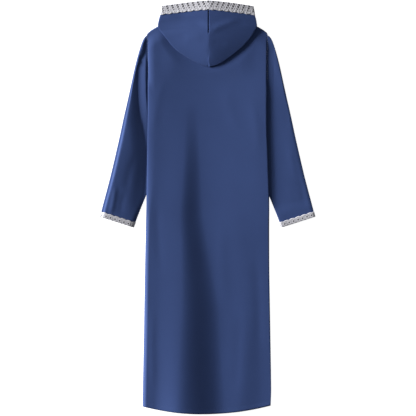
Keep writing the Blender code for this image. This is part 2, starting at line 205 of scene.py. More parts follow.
def neckHeight(x, y):
    beside = smooth((panels["neckHalfWidth"] + panels["neckReach"] - np.abs(x)) / panels["neckRamp"])
    return panels["neckLift"] * beside * smooth((y - panels["neckFromY"]) / panels["neckRise"])


def fallLoft(x, y, read, back):  # a fold that rises from the left and falls to the right
    top, width, height, sink, share = (read(y, c) for c in range(5))
    fall = smooth((x - top) / width)
    up = share + (1 - share) * smooth((x - top + foldRise) / foldRise)
    return height * up * (1 - fall) - sink * fall * (1 - smooth((x - top - width) / back))


def foldLoft(x, y):
    longPart = fallLoft(x, y, readLongFold, panels["longFoldBack"])
    return longPart + fallLoft(x, y, readShortFold, panels["shortFoldBack"])


def creaseLift(x, y, creases):
    lift = 0
    for startX, startY, endX, endY, bow, width, height in creases:
        alongX, alongY = endX - startX, endY - startY
        length = math.hypot(alongX, alongY)
        t = ((x - startX) * alongX + (y - startY) * alongY) / length**2
        away = ((x - startX) * alongY - (y - startY) * alongX) / length
        away = away - bow * 4 * np.clip(t, 0, 1) * (1 - np.clip(t, 0, 1))
        taper = smooth(t / 0.35) * smooth((1 - t) / 0.35)
        lift = lift + height * taper * np.exp(-((away / width) ** 2))
    return lift


def puffHeight(x, y):  # air under the back, none under the hood
    middle = readLevel(y, 1)
    level = middle
    for side, sideLevel in ((-1, readLevel(y, 0)), (1, readLevel(y, 2))):
        inside = np.maximum(side * (sideEdge(side, y) - x), 0)
        level = level + (sideLevel - middle) * np.exp(-((inside / panels["puffReach"]) ** 2))
    fromHood = np.hypot(x - panels["hoodDipAt"][0], y - panels["hoodDipAt"][1]) - panels["hoodDipRadius"]
    fromTop = topEdge(x, "back") - y
    return level * smooth(fromHood / panels["hoodDip"]) * smooth(fromTop / panels["topCalm"])


def hemLift(x, y):  # the turn-up stands a little proud, with its stitch line sunk
    up = y - hemEdge(x)
    stitchLine = np.exp(-(((up - panels["hemTurn"]) / panels["hemStitchWidth"]) ** 2))
    return panels["hemRidge"] * (smooth((panels["hemTurn"] + 2 - up) / 3) - stitchLine)


def backTop(x, y):
    raised = panels["backTuckShare"] * tuckHeight(x, y, panels["backTuckAhead"])
    backLeft, skirtLeft, right = panels["sideRound"]
    left = skirtLeft + (backLeft - skirtLeft) * smooth((y - panels["skirtFrom"]) / panels["skirtRamp"])
    edgeRound = roundOver((x - sideEdge(-1, y)) / left) * roundOver((sideEdge(1, y) - x) / right)
    under = smooth((panels["foldsEndY"] - y) / panels["topFade"])
    fine = creaseLift(x, y, backCreases) * under + hemLift(x, y)
    leastAir = smooth((panels["leastAirY"] - y) / panels["topFade"])
    soft = np.maximum(puffHeight(x, y) - raised, leastAir) + (foldLoft(x, y) + fine) * under
    return raised + neckHeight(x, y) + layers["cloth"] + layerStep + soft * edgeRound


clothPieces = []
sewnRows = []


def clothSheet(name, grid, uv, look, thickness, closed=False, flip=False, marks=None):
    # grid holds rows of points on the outer face, and the wall grows inwards from them
    count, width = grid.shape[:2]
    faces = []
    for i in range(count - 1):
        for j in range(width if closed else width - 1):
            k = (j + 1) % width
            face = (i * width + j, i * width + k, (i + 1) * width + k, (i + 1) * width + j)
            faces.append(face[::-1] if flip else face)
    mesh = bpy.data.meshes.new(name)
    mesh.from_pydata((grid.reshape(-1, 3) * mm).tolist(), [], faces)
    mesh.shade_smooth()
    weaveMap = mesh.uv_layers.new(name="weave")
    corners = np.zeros(len(mesh.loops), int)
    mesh.loops.foreach_get("vertex_index", corners)
    places = uv.reshape(-1, 2)[corners]
    if closed:  # the last column of faces runs on past the join
        around = uv[:, -1, 0] + (uv[:, -1, 0] - uv[:, -2, 0])
        lastFace = np.repeat((np.arange(len(faces)) % width) == width - 1, 4)
        first = lastFace & (corners % width == 0)
        places[first, 0] = around[corners[first] // width]
    weaveMap.data.foreach_set("uv", (places * mm).ravel())
    for mark, values in (marks or {}).items():
        layer = mesh.attributes.new(mark, "FLOAT", "POINT")
        layer.data.foreach_set("value", np.asarray(values, np.float32).ravel())
    piece = bpy.data.objects.new(name, mesh)
    bpy.context.scene.collection.objects.link(piece)
    piece.data.materials.append(look)
    wall = piece.modifiers.new("Wall", "SOLIDIFY")
    wall.thickness = thickness * mm
    wall.offset = -1
    clothPieces.append(piece)
    return piece


def selectOnly(piece):
    bpy.ops.object.select_all(action="DESELECT")
    piece.select_set(True)
    bpy.context.view_layer.objects.active = piece


def giveWall(piece):
    selectOnly(piece)
    bpy.ops.object.modifier_apply(modifier="Wall")


def gridLengths(grid):  # distances over the cloth, from the first column and from the first row
    across = np.linalg.norm(np.diff(grid, axis=1), axis=2)
    along = np.linalg.norm(np.diff(grid, axis=0), axis=2)
    u = np.concatenate([np.zeros((len(grid), 1)), np.cumsum(across, axis=1)], axis=1)
    v = np.concatenate([[0], np.cumsum(along.mean(axis=1))])
    return np.stack([u, np.repeat(v[:, None], grid.shape[1], axis=1)], axis=2)


def gridNormals(grid):
    normals = np.cross(np.gradient(grid, axis=0), np.gradient(grid, axis=1))
    return normals / np.linalg.norm(normals, axis=2, keepdims=True)


def newLook(name):
    look = bpy.data.materials.new(name)
    look.use_nodes = True
    return look, look.node_tree.nodes, look.node_tree.links, look.node_tree.nodes["Principled BSDF"]


clothLook = {
    "colour": (0.0268, 0.0545, 0.1690, 1),
    "deepColour": (0.0152, 0.0326, 0.1070, 1),
    "yarn": 0.5,  # pitch of the plain weave
    "weaveDepth": 0.05,
    "roughness": 0.82,
    "sheen": 0.05,
    "sheenRoughness": 0.4,
    "specular": 0.25,
    "slub": (1800, 60, 1),  # how fine the thick and thin places are, across and along a thread
    "slubTone": 0.35,
    "cloudTone": 0.32,
    "weaveTone": 0.12,
    "slubHeight": 1.2,
    "bump": 0.35,
}


def node(nodes, kind, **values):
    made = nodes.new("ShaderNode" + kind)
    for key, value in values.items():
        if key in made.inputs:
            made.inputs[key].default_value = value
        else:
            setattr(made, key, value)
    return made


def math2(nodes, links, operation, a, b=None):
    made = nodes.new("ShaderNodeMath")
    made.operation = operation
    for socket, value in zip(made.inputs, (a, b)):
        if isinstance(value, bpy.types.NodeSocket):
            links.new(value, socket)
        elif value is not None:
            socket.default_value = value
    return made.outputs[0]


def makeClothLook():
    look, nodes, links, shader = newLook("blue_cloth_woven")
    place = node(nodes, "UVMap", uv_map="weave").outputs["UV"]
    split = node(nodes, "SeparateXYZ")
    links.new(place, split.inputs[0])
    turn = 2 * math.pi / (2 * clothLook["yarn"] * mm)
    warp = math2(nodes, links, "SINE", math2(nodes, links, "MULTIPLY", split.outputs["X"], turn))
    weft = math2(nodes, links, "SINE", math2(nodes, links, "MULTIPLY", split.outputs["Y"], turn))
    over = math2(nodes, links, "MULTIPLY", warp, weft)
    fine, coarse, flat = clothLook["slub"]
    slubs = []
    for scale in ((fine, coarse, flat), (coarse, fine, flat)):  # along each way of the weave
        stretched = node(nodes, "Mapping")
        stretched.inputs["Scale"].default_value = scale
        links.new(place, stretched.inputs["Vector"])
        noise = node(nodes, "TexNoise", Scale=1.0, Detail=2.0)
        links.new(stretched.outputs[0], noise.inputs["Vector"])
        slubs.append(noise.outputs[0])
    threads = math2(nodes, links, "ADD", *slubs)
    cloud = node(nodes, "TexNoise", Scale=7.0, Detail=3.0)
    solid = node(nodes, "TexCoord")
    links.new(solid.outputs["Object"], cloud.inputs["Vector"])
    slubTone = math2(nodes, links, "MULTIPLY", threads, clothLook["slubTone"])
    cloudTone = math2(nodes, links, "MULTIPLY", cloud.outputs[0], clothLook["cloudTone"])
    weaveTone = math2(nodes, links, "MULTIPLY", over, clothLook["weaveTone"])
    tone = math2(nodes, links, "ADD", math2(nodes, links, "ADD", slubTone, cloudTone), weaveTone)
    mix = node(nodes, "Mix", data_type="RGBA")
    links.new(tone, mix.inputs["Factor"])
    mix.inputs[6].default_value = clothLook["deepColour"]
    mix.inputs[7].default_value = clothLook["colour"]
    links.new(mix.outputs[2], shader.inputs["Base Color"])
    slubHeight = math2(nodes, links, "MULTIPLY", threads, clothLook["slubHeight"])
    height = math2(nodes, links, "ADD", over, slubHeight)
    bump = node(nodes, "Bump", Strength=clothLook["bump"], Distance=clothLook["weaveDepth"] * mm)
    links.new(height, bump.inputs["Height"])
    links.new(bump.outputs[0], shader.inputs["Normal"])
    shader.inputs["Roughness"].default_value = clothLook["roughness"]
    shader.inputs["Sheen Weight"].default_value = clothLook["sheen"]
    shader.inputs["Sheen Roughness"].default_value = clothLook["sheenRoughness"]
    shader.inputs["Specular IOR Level"].default_value = clothLook["specular"]
    return look


laceLook = {
    "thread": (0.47, 0.465, 0.50, 1),
    "ground": (0.24, 0.245, 0.29, 1),  # fine net between the motifs
    "spot": (0.045, 0.044, 0.052, 1),
    "roughness": 0.85,
    "netPitch": 1.7,
}


def makeLaceLook():
    look, nodes, links, shader = newLook("white_lace_net")
    place = node(nodes, "UVMap", uv_map="weave").outputs["UV"]
    net = node(nodes, "TexVoronoi", feature="DISTANCE_TO_EDGE", Scale=1 / (laceLook["netPitch"] * mm))
    net.inputs["Randomness"].default_value = 0.35
    links.new(place, net.inputs["Vector"])
    hole = node(nodes, "MapRange")
    hole.inputs["From Min"].default_value = 0.08
    hole.inputs["From Max"].default_value = 0.3
    links.new(net.outputs["Distance"], hole.inputs["Value"])
    raised = node(nodes, "Attribute", attribute_name="raised").outputs["Fac"]
    spot = node(nodes, "Attribute", attribute_name="spot").outputs["Fac"]
    opening = math2(nodes, links, "MULTIPLY", hole.outputs[0], math2(nodes, links, "SUBTRACT", 1.0, raised))
    first = node(nodes, "Mix", data_type="RGBA")
    links.new(opening, first.inputs["Factor"])
    first.inputs[6].default_value = laceLook["thread"]
    first.inputs[7].default_value = laceLook["ground"]
    second = node(nodes, "Mix", data_type="RGBA")
    links.new(spot, second.inputs["Factor"])
    links.new(first.outputs[2], second.inputs[6])
    second.inputs[7].default_value = laceLook["spot"]
    links.new(second.outputs[2], shader.inputs["Base Color"])
    bump = node(nodes, "Bump", Strength=0.5, Distance=0.25 * mm)
    links.new(math2(nodes, links, "SUBTRACT", 1.0, opening), bump.inputs["Height"])
    links.new(bump.outputs[0], shader.inputs["Normal"])
    shader.inputs["Roughness"].default_value = laceLook["roughness"]
    shader.inputs["Sheen Weight"].default_value = 0.1
    return look


def makeThreadLook(name, colour):
    look, nodes, links, shader = newLook(name)
    place = node(nodes, "TexCoord")
    twist = node(nodes, "TexNoise", Scale=2600.0, Detail=1.0)
    links.new(place.outputs["Object"], twist.inputs["Vector"])
    mix = node(nodes, "Mix", data_type="RGBA")
    links.new(twist.outputs[0], mix.inputs["Factor"])
    mix.inputs[6].default_value = (*(0.7 * part for part in colour[:3]), 1)
    mix.inputs[7].default_value = colour
    links.new(mix.outputs[2], shader.inputs["Base Color"])
    bump = node(nodes, "Bump", Strength=0.4, Distance=0.06 * mm)
    links.new(twist.outputs[0], bump.inputs["Height"])
    links.new(bump.outputs[0], shader.inputs["Normal"])
    shader.inputs["Roughness"].default_value = 0.6
    shader.inputs["Sheen Weight"].default_value = 0.2
    return look


woven = makeClothLook()
netted = makeLaceLook()
blueThread = makeThreadLook("blue_thread", (0.03, 0.058, 0.17, 1))
whiteThread = makeThreadLook("white_thread", (0.5, 0.5, 0.54, 1))

stitches = {
    "length": 3.2,
    "gap": 0.9,
    "radius": 0.26,
    "arch": 0.24,  # how far the middle of a stitch stands off the cloth
    "sunk": 0.16,  # how far its ends go in
}


def sewRow(name, points, outs, thread):
    # a row of machine stitches along points on a cloth, with outs pointing away from the cloth
    steps = np.linalg.norm(np.diff(points, axis=0), axis=1)
    lengths = np.concatenate([[0], np.cumsum(steps)])
    pitch = stitches["length"] + stitches["gap"]
    thin = bpy.data.curves.new(name, "CURVE")
    thin.dimensions = "3D"
    thin.bevel_depth = stitches["radius"] * mm
    thin.bevel_resolution = 0
    thin.use_fill_caps = True
    for start in np.arange(stitches["gap"], lengths[-1] - pitch, pitch):
        stitch = thin.splines.new("POLY")
        stitch.points.add(2)
        for point, share in zip(stitch.points, (0, 0.5, 1)):
            at = start + stitches["length"] * share
            height = stitches["arch"] if share == 0.5 else -stitches["sunk"]
            here = [np.interp(at, lengths, points[:, c] + outs[:, c] * height) * mm for c in range(3)]
            point.co = (*here, 1)
    row = bpy.data.objects.new(name, thin)
    bpy.context.scene.collection.objects.link(row)
    selectOnly(row)
    bpy.ops.object.convert(target="MESH")
    row = bpy.context.active_object
    row.data.materials.append(thread)
    sewnRows.append(row)


def panelPlan(columns, stations, neck):
    s = np.linspace(0, 1, columns)
    s = s + panels["sideCrowding"] * (0.5 - 0.5 * np.cos(math.pi * s) - s)
    t = np.linspace(0, 1, stations)[:, None]
    hemFlat = panels["hemY"] + panels["hemRise"] / 2
    flatY = hemFlat + (panels["topY"] - hemFlat) * t
    x = sideEdge(-1, flatY) + (sideEdge(1, flatY) - sideEdge(-1, flatY)) * s[None, :]
    nearHem = smooth((hemFlat + panels["hemReach"] - flatY) / panels["hemReach"])
    nearTop = smooth((flatY - panels["neckFromY"]) / (panels["topY"] - panels["neckFromY"]))
    y = flatY + nearHem * (hemEdge(x) - hemFlat) + nearTop * (topEdge(x, neck) - panels["topY"])
    return x, y


def makeFront():
    x, y = panelPlan(*panels["frontGrid"], "front")
    grid = np.stack([x, y, tuckHeight(x, y)], axis=2)
    piece = clothSheet("front_cloth", grid, grid[:, :, :2], woven, layers["cloth"], flip=True)
    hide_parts("front_panel")


def makeBack():
    x, y = panelPlan(*panels["backGrid"], "back")
    grid = np.stack([x, y, backTop(x, y)], axis=2)
    piece = clothSheet("back_cloth", grid, grid[:, :, :2], woven, layers["cloth"])
    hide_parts("back_panel")


def makeHemStitches():
    x = np.linspace(sideEdge(-1, -700) + 3, sideEdge(1, -700) - 3, 300)
    y = hemEdge(x) + panels["hemTurn"]
    points = np.column_stack([x, y, backTop(x, y)])
    sewRow("hem_stitches", points, np.tile((0, 0, 1), (len(x), 1)), blueThread)


sleeves = {
    "flat": 3.2,
    "foldReach": 2,
    "edgeRound": 9,
    "innerRound": 13,
    "cuffStart": 0.88,  # share of the length where the cuff starts to thicken
    "around": (0.35, 0.5, 0.88),  # shares of the way round: the outer fold starts, ends, the inner starts
    "rightRoll": 24,  # width of the right sleeve's roll beside the body
    "rightRise": 200,
    "rows": 110,
    "cuffSlant": 0.32,
    "outerFold": {-1: 1.8, 1: 0.5},  # added to the radius of the outer fold
    "slope": {-1: 1.7, 1: 1.2},  # how much steeper each sleeve is near the body
    "cuffLace": {"width": 20.5, "scallop": 21.3, "depth": 3},
}
# armhole to cuff: outer x, y, the point that bows the section, inner x, y
sleeveSections = [
    (214, 615, 213.5, 497, 207, 379), (229.5, 592, 238, 349, 205, 350), (244, 549.5, 243, 341, 200, 337),
    (257, 500, 237, 342, 196, 326), (268, 450, 241, 338, 186, 297), (280, 395, 238, 322, 177, 258),
    (296, 325, 234, 266, 172, 208), (312, 250, 244, 206, 176, 160), (328, 180, 258, 146, 188, 112),
    (344, 112, 274.5, 91, 205, 70), (357, 62, 289, 48, 221, 34), (370, 13, 305, 0, 240.5, -14),
    (382, -33.5, 322, -53, 262.5, -72),
]
readSleeve = curveThrough(numbered(sleeveSections))
# place along the sleeve, outer x, then for the left sleeve its loft, the width and height of the roll
# beside the body and the width of the rise, then the loft and the height of the roll of the right sleeve
sleeveLofts = [
    (-33.5, 382, 7.5, 6, 0, 200, 0.8, 0.6), (17, 370, 9, 6, 0, 200, 0.8, 1.2),
    (70, 357, 10.5, 4, 0, 150, 0.8, 1.6), (124, 344, 12, 2, 0, 120, 0.8, 2),
    (197, 328, 12, 1, 0, 100, 0.8, 2), (272, 312, 10, 3, 0, 80, 0.8, 1.8),
    (339, 299, 8, 16, 0.6, 55, 1, 1.5), (375, 291.5, 6.5, 27, 1.8, 36, 1, 1.2),
    (428, 280, 5.2, 33, 3, 28, 1.2, 1), (486, 268, 4.6, 35, 3.8, 24, 1.2, 0.8),
    (540, 257, 4, 32, 3.8, 22, 1.2, 0.5), (575, 249, 4, 20, 2.4, 16, 1, 0.3),
    (600, 242, 4.5, 10, 0.8, 12, 1, 0), (641, 229.5, 4.5, 6, 0, 9, 1, 0), (669, 214, 3, 5, 0, 9, 1, 0),
]
readLoft = curveThrough(sleeveLofts)
# creases of each sleeve: start x, start y, end x, end y, bow, width, height
sleeveCreases = {
    -1: [
        (-226, 540, -240, 512, 3, 4, -1.6),
        (-234, 524, -252, 500, 3, 5, 1.2),
        (-250, 200, -290, 40, 6, 14, -0.8),
        (-326, 90, -348, -40, -4, 9, 1.6),
        (-290, 60, -310, -40, 4, 10, -0.6),
    ],
    1: [
        (232, 560, 256, 460, 4, 9, 0.5),
        (262, 430, 286, 260, -5, 12, -0.5),
        (292, 240, 318, 90, 5, 13, 0.5),
        (322, 120, 345, -10, -4, 11, -0.4),
    ],
}


def sleeveRing(side, t, around):
    at = t * (len(sleeveSections) - 1)
    outerX, outerY, bowX, bowY, innerX, innerY = (float(readSleeve(at, c)) for c in range(6))
    steps = np.linspace(0, 1, 25)[:, None]
    line = (
        np.array((innerX, innerY)) * (1 - steps) ** 2
        + np.array((bowX, bowY)) * 2 * steps * (1 - steps)
        + np.array((outerX, outerY)) * steps**2
    )
    lengths = np.concatenate([[0], np.cumsum(np.linalg.norm(np.diff(line, axis=0), axis=1))])
    width = lengths[-1]
    pastStart = t - sleeves["cuffStart"]
    inner = sleeves["flat"] / 2 + 1.3 * smooth(pastStart / 0.12)
    outer = sleeves["flat"] / 2 + sleeves["outerFold"][side] * smooth(t / 0.2)
    lift = laceStep * smooth(pastStart / 0.06)
    foot, head = sleeves["foldReach"] * inner, width - sleeves["foldReach"] * outer

    def place(a):
        x, y = np.interp(a, lengths, line[:, 0]), np.interp(a, lengths, line[:, 1])
        edge = np.abs(sideEdge(side, y)) + layers["seamGap"] + layers["cloth"] * smooth((a - width + 9) / 6)
        x = x + (edge - x) * (1 - smooth(at / 0.5))
        return side * x, y, x - edge

    def top(a):
        x, y, beyond = place(a)
        past = np.maximum(beyond - 5, 0)
        level = y + sleeves["cuffSlant"] * (sleeveLofts[0][1] - np.abs(x))
        shown = readLoft(level, 0) - np.abs(sideEdge(side, y))
        loft, rollWidth, rollHeight, riseWidth = (readLoft(level, c) for c in (1, 2, 3, 4))
        if side > 0:
            loft, rollHeight = readLoft(level, 5), readLoft(level, 6)
            rollWidth, riseWidth = sleeves["rightRoll"], sleeves["rightRise"]
        crown = roundOver((a - foot) / sleeves["innerRound"]) * roundOver((head - a) / sleeves["edgeRound"])
        crease = creaseLift(x, y, sleeveCreases[side]) * smooth(past / 20)
        rise = np.clip((beyond - rollWidth) / np.clip(shown - rollWidth, 8, riseWidth), 0, 1)
        gapWidth = 5 * smooth((level - 400) / 60)
        roll = rollHeight * smooth((beyond + 3 - gapWidth) / 4)
        roll = roll * (1 - smooth((beyond - 3) / np.maximum(rollWidth - 3, 3)))
        lifted = loft * (1 - (1 - rise) ** sleeves["slope"][side]) * smooth(rise / 0.08) + roll + crease
        return 2 * (inner + (outer - inner) * smooth((beyond - rollWidth) / 60)) + lifted * crown

    outFrom, outTo, inFrom = sleeves["around"]
    under = around < outFrom
    outTurn = (around >= outFrom) & (around < outTo)
    upper = (around >= outTo) & (around < inFrom)
    outAngle = math.pi * (around - outFrom) / (outTo - outFrom) - math.pi / 2
    inAngle = math.pi * (around - inFrom) / (1 - inFrom) + math.pi / 2
    a = np.select(
        [under, outTurn, upper],
        [
            foot + (head - foot) * around / outFrom,
            head + sleeves["foldReach"] * outer * np.cos(outAngle),
            head + (foot - head) * (around - outTo) / (inFrom - outTo),
        ],
        foot + sleeves["foldReach"] * inner * np.cos(inAngle),
    )
    z = np.select(
        [under, outTurn, upper],
        [np.zeros_like(around), top(head) / 2 * (1 + np.sin(outAngle)), top(a)],
        top(foot) / 2 * (1 + np.sin(inAngle)),
    )
    x, y, _ = place(a)
    return np.stack([x, y, z + lift], axis=-1)


def sleeveAround():
    ends = (0, *sleeves["around"], 1)
    counts = (24, 10, 44, 8)  # points under, round the outer fold, above and round the inner fold
    return np.concatenate([np.linspace(a, b, n)[:-1] for a, b, n in zip(ends, ends[1:], counts)])


def makeSleeve(sideName, side):
    around = sleeveAround()
    grid = np.array([sleeveRing(side, t, around) for t in np.linspace(0, 1, sleeves["rows"])])
    piece = clothSheet(
        "sleeve_cloth_" + sideName, grid, gridLengths(grid), woven, layers["cloth"], True, side < 0
    )
    giveWall(piece)
    for vertex in piece.data.vertices:
        vertex.co.z = max(vertex.co.z, 0)  # at the underarm the wall would turn down
    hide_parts("sleeve_" + sideName)


hood = {
    "neckClear": 5,
    "clear": 1.2,  # air under the hood's lower layer
    "foldTightness": 0.45,  # width of the fold's rounding over its height
    "foldOpen": 3.6,  # least height of the fold over the lower layer's outer face
    "seamX": 3.5,
    "seamGap": 0.01,
    "seamTopY": 733.5,
    "seamTipY": 527,
    "faceArch": 7,  # how much the face edge bows up on each side
    "lace": {"width": 35, "scallop": 24, "depth": 4},
    "neckGates": ((72, 699), (107, 678)),  # places that the front's lower layer passes, from middle to side
    "gateAt": 0.2,  # shares of the way across: the gate, then where the fold starts and ends
    "foldFrom": 0.4,
    "foldTo": 0.56,
    "seamDip": 5,  # depth of the open groove in the upper seam
    "seamDipWidth": 2.2,
}
# where the hood folds under: x and y on the left, then on the right
hoodOutline = [
    (-160, 716, 162, 715),
    (-167, 687, 167, 687),
    (-172, 669, 172, 669),
    (-175, 655, 174.5, 655),
    (-175.7, 641, 175.5, 641),
    (-167, 626, 167, 625),
    (-148, 601, 152, 601),
    (-113, 560, 122, 568),
    (-72, 532, 85, 538),
    (-28, 508.5, 42, 509),
    (hood["seamX"] - layers["gap"] / 2, 498, hood["seamX"] + layers["gap"] / 2, 498),
]
shoulderStation = 3
# face edge (0) to tip (1), then the height of the fold on the left, on the right and of the centre seam
hoodHeights = [
    (0, 14, 12, 22), (0.2, 12.5, 13.5, 25), (0.35, 10, 13.5, 25.5), (0.5, 9, 13.5, 26.5),
    (0.75, 8.5, 13, 24.5), (1, 9.5, 10.5, 17),
]
readOutline = curveThrough(numbered(hoodOutline))
readHoodHeight = curveThrough(hoodHeights)
# creases of the hood's upper layer: start x, start y, end x, end y, bow, width, height
hoodCreases = [
    (-6, 610, 124, 664, -10, 13, 1.4),
    (10, 634, -140, 680, 8, 14, -2),
    (-10, 600, -90, 590, 6, 14, 0.6),
    (12, 585, 70, 570, -4, 12, -0.5),
]


def hoodFold(side, at):
    column = 0 if side < 0 else 2
    return np.array([float(readOutline(at, column)), float(readOutline(at, column + 1))])


def neckPlaces(side, u, bottom):
    neckPart = shoulderStation / (len(hoodOutline) - 1)
    if u <= neckPart:  # the hood's front lies in the front neckline
        part = u / neckPart
        turn = math.pi / 2 * part
        half = panels["neckHalfWidth"] - hood["neckClear"]
        drop = panels["neckSideY"] - panels["frontNeckY"] - hood["neckClear"]
        seam = np.array((
            side * (layers["gap"] + (half - layers["gap"]) * math.sin(turn)),
            panels["neckSideY"] - drop * math.cos(turn),
        ))
        (fromX, fromY), (toX, toY) = hood["neckGates"]
        gate = np.array((side * fromX, fromY)) * (1 - part) + np.array((side * toX, toY)) * part
        return seam, gate
    part = (u - neckPart) / (1 - neckPart)
    across = panels["neckHalfWidth"] * (1 - part)
    middle = hood["seamX"] * smooth(part)
    rim = np.array((middle + side * (across + layers["gap"] / 2), topEdge(across, "back") - 2))
    start = np.array((side * (panels["neckHalfWidth"] + 1), panels["neckSideY"] + 7))
    settle = smooth((part - 0.03) / 0.06)
    seam = start * (1 - settle) + rim * settle
    turnPart = 0.12 + 0.38 * smooth(part / 0.4)
    return seam, seam * (1 - turnPart) + bottom * turnPart


def hoodRow(side, u, v, seamDip=hood["seamDip"]):
    last = len(hoodOutline) - 1
    at = u * last
    fold = hoodFold(side, at)
    ahead = hoodFold(side, min(at + 0.2, last)) - hoodFold(side, max(at - 0.2, 0))
    inwards = np.array((ahead[1], -ahead[0])) * side
    inwards /= np.linalg.norm(inwards)
    toTip = smooth((u - 0.75) / 0.25)
    inwards = inwards * (1 - toTip) + np.array((0, 1)) * toTip
    inwards /= np.linalg.norm(inwards)
    onBack = smooth((u - shoulderStation / last) / 0.02)
    edgeHeight, seamHeight = float(readHoodHeight(u, 0 if side < 0 else 1)), float(readHoodHeight(u, 2))

    def low(x, y):
        return laceStep + (backTop(x, y) + hood["clear"] - laceStep) * onBack

    foldLow = float(low(*(fold + inwards * 6)))
    edgeHeight = max(edgeHeight, foldLow + hood["foldOpen"])
    radius = (edgeHeight - foldLow) / 2
    sideways = radius * hood["foldTightness"]
    bottom = fold + inwards * sideways
    points = np.zeros((len(v), 3))

    gateAt, foldFrom, foldTo = hood["gateAt"], hood["foldFrom"], hood["foldTo"]
    under = v < foldFrom
    seam, gate = neckPlaces(side, u, bottom)
    first = (v < gateAt)[:, None]
    t = ((v % gateAt) / gateAt)[:, None]
    p = np.where(first, seam * (1 - t) + gate * t, gate * (1 - t) + bottom * t)
    lowHere = low(p[:, 0], p[:, 1])
    z = lowHere + (foldLow - lowHere) * smooth((v - 0.3) / 0.1)
    points[under] = np.column_stack([p, z])[under]

    turning = (v >= foldFrom) & (v < foldTo)
    turn = math.pi * (v - foldFrom) / (foldTo - foldFrom) - math.pi / 2
    p = bottom - inwards * sideways * np.cos(turn)[:, None]
    points[turning] = np.column_stack([p, foldLow + radius + radius * np.sin(turn)])[turning]

    upper = v >= foldTo
    t = (v - foldTo) / (1 - foldTo)
    topY = hood["seamTopY"] + (hood["seamTipY"] - hood["seamTopY"]) * u
    seamPlace = np.array((hood["seamX"] + side * hood["seamGap"] / 2, topY))
    straight = seamPlace - bottom
    reach = np.linalg.norm(straight) / 3
    leave = inwards * 0.35 + straight / np.linalg.norm(straight) * 0.65
    toTip = smooth((u - 0.6) / 0.4)
    back = np.array((side, 0)) * (1 - toTip) + np.array((0, -1)) * toTip
    back = back / np.linalg.norm(back) * 0.5 - straight / np.linalg.norm(straight) * 0.5
    arch = np.array((0, hood["faceArch"] * (1 - smooth(u / 0.2))))
    s = t[:, None]
    p = (
        bottom * (1 - s) ** 3
        + (bottom + leave * reach + arch) * 3 * s * (1 - s) ** 2
        + (seamPlace + back * reach) * 3 * s * s * (1 - s)
        + seamPlace * s**3
    )
    rise = 0.75 * t + 0.25 * smooth(t) if side < 0 else 1.5 * t - 0.5 * t * t
    z = edgeHeight + (seamHeight - edgeHeight) * rise
    z = z + creaseLift(p[:, 0], p[:, 1], hoodCreases) * smooth(t / 0.15)
    openSeam = 0.06 + 0.94 * smooth((p[:, 1] - 614) / 10)
    fromSeam = np.abs(p[:, 0] - hood["seamX"]) / hood["seamDipWidth"]
    nearSeam = 1 - smooth(fromSeam / (0.4 + 0.6 * openSeam) - 0.3)
    z = z - seamDip * openSeam * nearSeam * smooth((p[:, 1] - 515) / 25)
    points[upper] = np.column_stack([p, z])[upper]
    return points


def hoodAcross():
    return np.concatenate([
        np.linspace(0, 0.4, 30)[:-1],
        np.linspace(0.4, 0.56, 14)[:-1],
        np.linspace(0.56, 0.95, 44)[:-1],
        np.linspace(0.95, 0.985, 7)[:-1],
        np.linspace(0.985, 1, 10),
    ])


def closeAtSeam(piece, side):  # squares the half's edge to the centre seam
    giveWall(piece)
    limit = (hood["seamX"] + side * hood["seamGap"] / 2) * mm
    for vertex in piece.data.vertices:
        vertex.co.x = side * max(side * vertex.co.x, side * limit)


def makeHood(sideName, side):
    across = hoodAcross()
    along = np.concatenate([np.linspace(0, 0.36, 30)[:-1], np.linspace(0.36, 1, 52)])
    grid = np.array([hoodRow(side, u, across) for u in along])
    places = gridLengths(grid)
    piece = clothSheet("hood_cloth_" + sideName, grid, places, woven, layers["cloth"], flip=side < 0)
    closeAtSeam(piece, side)
    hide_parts("hood_" + sideName)


laceMotifs = {
    "pitch": 18.3,  # hood: distance between two slanted rows of spots
    # of each row of spots: depth, slant, radius, tone
    "rows": [(5.0, 0.0, 3.9, 1.0), (12.8, 4.2, 3.6, 0.95), (20.8, 8.4, 3.0, 0.75), (27.5, 12.4, 2.0, 0.45)],
    "bead": 13.0,
    "cuffPitch": 16.5,
    "across": 1.05,  # distance between points across the strip, then along it
    "along": 1.15,
    "sewnShare": 0.08,  # place of the stitches on the strip's width
    "sewnFrom": 4,  # least height of the stitches, so none lie underneath
}


def repeatAway(s, pitch, start=0.0):  # signed distance to the nearest of an even row of places
    return (s - start + pitch / 2) % pitch - pitch / 2


def hoodLace(s, e, reach):
    spot, raised = 0, 0
    for depth, slant, radius, tone in laceMotifs["rows"]:
        away = np.hypot(repeatAway(s, laceMotifs["pitch"], -slant), e - depth)
        spot = np.maximum(spot, tone * smooth((radius - away) / 1.4 + 0.5))
        raised = np.maximum(raised, np.exp(-(((away - radius - 1.9) / 0.9) ** 2)))
    leaf = np.hypot(repeatAway(s, laceMotifs["pitch"], -4.2 + laceMotifs["pitch"] / 2), (e - 11) / 1.9)
    raised = np.maximum(raised, 0.9 * np.exp(-(((leaf - 3.3) / 0.9) ** 2)))
    bead = np.hypot(repeatAway(s, laceMotifs["bead"]), e - reach + 3.6)
    raised = np.maximum(raised, smooth((3.9 - bead) / 1.6))
    raised = np.maximum(raised, np.exp(-(((e - reach + 8.6) / 0.8) ** 2)) * 0.8)
    spot = spot * smooth((reach - e) / 3)
    return spot, raised


